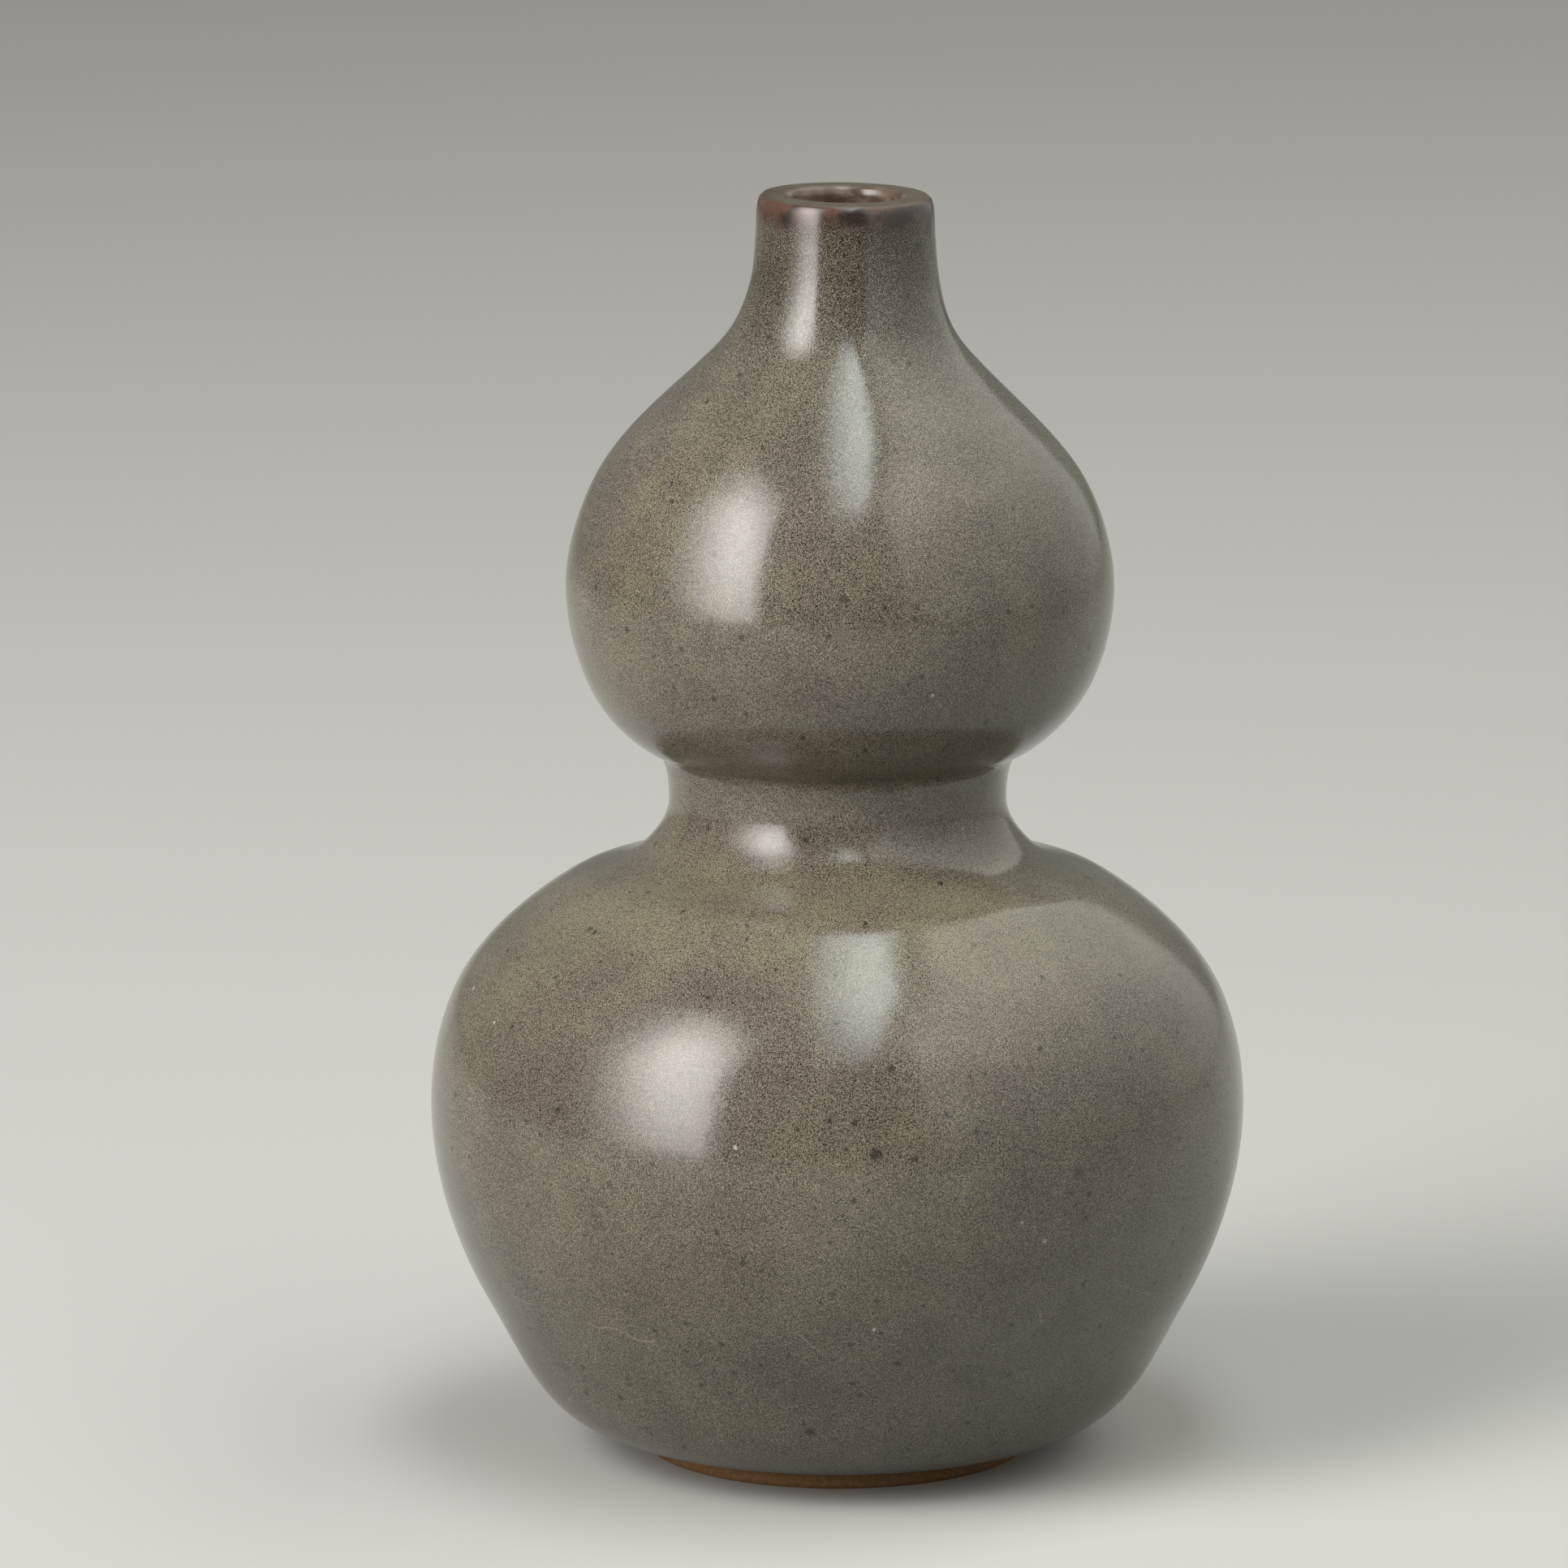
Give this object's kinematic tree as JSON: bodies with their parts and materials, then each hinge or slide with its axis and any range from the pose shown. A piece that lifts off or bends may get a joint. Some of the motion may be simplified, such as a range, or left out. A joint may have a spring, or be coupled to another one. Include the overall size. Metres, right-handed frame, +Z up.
{
  "type": "gourd vase",
  "caption": "Free-standing double-gourd stoneware vase: a wide lower bulb, a narrow waist, a smaller upper bulb and a short flat-lipped neck that holds a stem.",
  "frame": {"origin": "middle of the foot ring's underside, on the vase's axis", "axes": "+Z up along the axis towards the mouth; X and Y are level, and the front faces -Y"},
  "size_m": [0.1414, 0.1414, 0.22],
  "materials": {
    "stoneware": "matte",
    "slip": "matte",
    "speckled_glaze": "gloss",
    "liner_glaze": "gloss"
  },
  "bodies": {
    "root": {"lower_bowl": "stoneware", "shoulder": "stoneware", "upper_bowl": "stoneware", "upper_dome": "stoneware", "foot_ring": "stoneware", "foot_slip": "slip", "belly_slip": "slip", "crease_slip": "slip", "upper_belly_slip": "slip", "outer_glaze": "speckled_glaze", "inner_glaze": "liner_glaze", "base_glaze": "speckled_glaze"}
  },
  "joints": []
}
